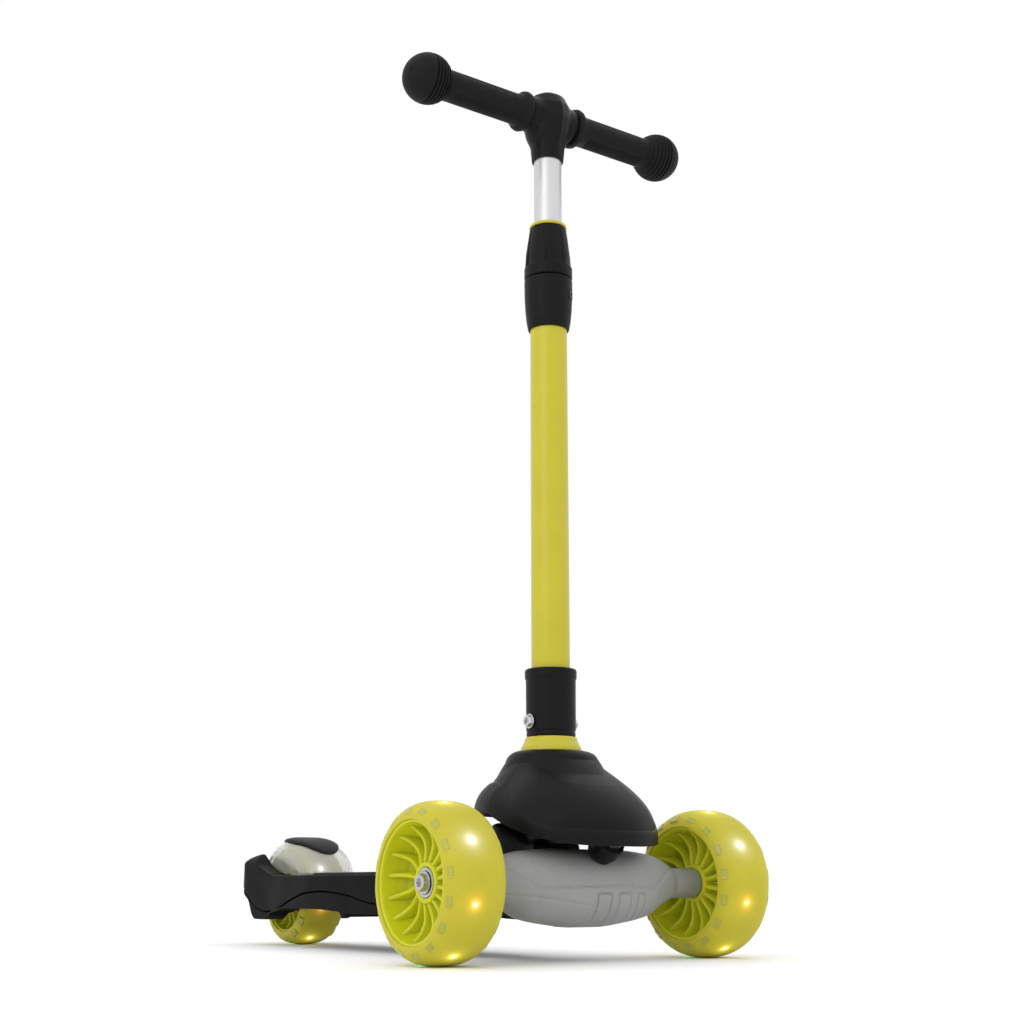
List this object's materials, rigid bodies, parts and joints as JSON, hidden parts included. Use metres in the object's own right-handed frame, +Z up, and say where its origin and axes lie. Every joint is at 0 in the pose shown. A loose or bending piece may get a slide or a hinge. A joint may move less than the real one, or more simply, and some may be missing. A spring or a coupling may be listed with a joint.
{
  "type": "kick_scooter",
  "caption": "Small child's lean-to-steer kick scooter with two wide wheels in front, one behind under a brake fender, and a T handlebar on a twist-lock telescopic stem.",
  "frame": {"origin": "on the floor, under the middle of the bounding box", "axes": "+X forward, +Y to the rider's left, +Z up"},
  "size_m": [0.59, 0.316, 0.7645],
  "materials": {
    "black_plastic": "fine moulded grain",
    "grey_plastic": "satin moulded",
    "lime_paint": "satin powder coat",
    "lime_tyre": "translucent cast urethane",
    "lime_core": "translucent moulded",
    "grip_rubber": "matt rubber",
    "bright_tube": "satin anodised",
    "steel": "zinc plated",
    "clear_plastic": "clear"
  },
  "bodies": {
    "deck": {"grip_pad": "grip_rubber", "neck_frame": "black_plastic", "kingpin_bolt": "steel", "kingpin_nut": "steel", "deck_shell": "black_plastic", "deck_cover": "black_plastic", "deck_plate": "steel", "cover_screw_1": "steel", "cover_screw_2": "steel", "cover_screw_3": "steel", "cover_screw_4": "steel", "hood": "black_plastic", "stem_cone": "lime_paint", "base_collar": "black_plastic", "collar_bolt": "steel", "collar_nut": "steel", "stem_tube": "lime_paint", "clamp_sleeve": "black_plastic", "clamp_screw": "steel", "clamp_collet": "grip_rubber", "magnet_core_rear": "steel", "rear_axle": "steel", "rear_axle_nut": "steel", "axle_cap_left": "black_plastic", "axle_cap_right": "black_plastic", "rear_spacer_left": "steel", "rear_spacer_right": "steel", "brake_pin": "steel"},
    "truck": {"truck_beam": "grey_plastic", "steer_bush_lower": "grip_rubber", "steer_bush_upper": "grip_rubber", "magnet_core_left": "steel", "axle_bolt_left": "steel", "magnet_core_right": "steel", "axle_bolt_right": "steel"},
    "front_wheel_left": {"tyre_front_left": "lime_tyre", "wheel_core_front_left": "lime_core", "bearing_outer_front_left": "steel", "bearing_inner_front_left": "steel"},
    "front_wheel_right": {"tyre_front_right": "lime_tyre", "wheel_core_front_right": "lime_core", "bearing_outer_front_right": "steel", "bearing_inner_front_right": "steel"},
    "rear_wheel": {"tyre_rear": "lime_tyre", "wheel_core_rear": "lime_core", "bearing_outer_rear": "steel", "bearing_inner_rear": "steel"},
    "handlebar": {"inner_tube": "bright_tube", "tube_guide": "grip_rubber", "handle_hub": "black_plastic", "cross_bar": "steel", "grip_left": "grip_rubber", "grip_right": "grip_rubber"},
    "lock": {"twist_collar": "black_plastic", "top_ring": "lime_paint"},
    "brake": {"fender": "clear_plastic", "fender_pad": "black_plastic"}
  },
  "joints": [
    {"name": "steer_lean", "type": "hinge", "parent": "deck", "child": "truck", "pos_m": [0.238, 0, 0.068], "axis": [0.848, 0, 0.5299], "range_deg": [-12, 12], "stiffness_Nm_per_rad": 14},
    {"name": "spin_front_left", "type": "hinge", "parent": "truck", "child": "front_wheel_left", "pos_m": [0.235, 0.1315, 0.06], "axis": [0, 1, 0], "continuous": true},
    {"name": "spin_front_right", "type": "hinge", "parent": "truck", "child": "front_wheel_right", "pos_m": [0.235, -0.1315, 0.06], "axis": [0, 1, 0], "continuous": true},
    {"name": "spin_rear", "type": "hinge", "parent": "deck", "child": "rear_wheel", "pos_m": [-0.229, 0, 0.05], "axis": [0, 1, 0], "continuous": true},
    {"name": "bar_height", "type": "slide", "parent": "deck", "child": "handlebar", "axis": [0, 0, 1], "range_m": [-0.055, 0.1]},
    {"name": "lock_twist", "type": "hinge", "parent": "deck", "child": "lock", "pos_m": [0.1987, 0, 0.6], "axis": [0, 0, 1], "range_deg": [0, 90]},
    {"name": "brake_press", "type": "hinge", "parent": "deck", "child": "brake", "pos_m": [-0.173, 0, 0.062], "axis": [0, -1, 0], "range_deg": [0, 2], "stiffness_Nm_per_rad": 1, "springref_deg": -6.88}
  ]
}
